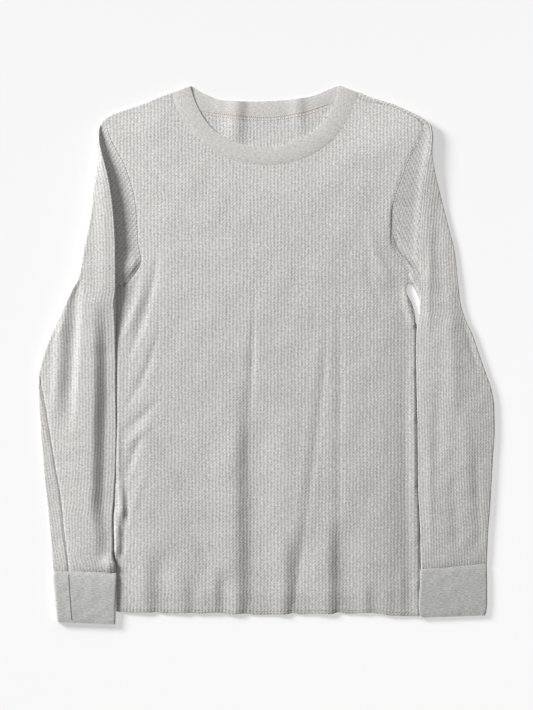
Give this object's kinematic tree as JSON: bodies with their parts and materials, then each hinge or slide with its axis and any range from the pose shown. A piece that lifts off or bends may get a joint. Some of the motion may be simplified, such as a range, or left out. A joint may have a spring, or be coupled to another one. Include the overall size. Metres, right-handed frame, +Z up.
{
  "type": "long-sleeved thermal top",
  "caption": "Long-sleeved crew-neck thermal top of grey waffle knit, laid flat with its sleeves down at its sides, for indoor scenes and sleepwear.",
  "frame": {"origin": "centre of the bounding box on the surface that the garment lies on", "axes": "+Z up out of the laid front, +Y from hem to neck, +X to the wearer's left"},
  "size_m": [0.57, 0.6724, 0.0077],
  "materials": {
    "waffle": "grey melange cotton waffle knit, matt",
    "jersey": "grey melange cotton jersey, doubled, matt"
  },
  "bodies": {
    "root": {"front": "waffle", "back": "waffle", "sleeve_right": "waffle", "sleeve_left": "waffle", "neckband": "jersey", "cuff_right": "jersey", "cuff_left": "jersey"}
  },
  "joints": []
}
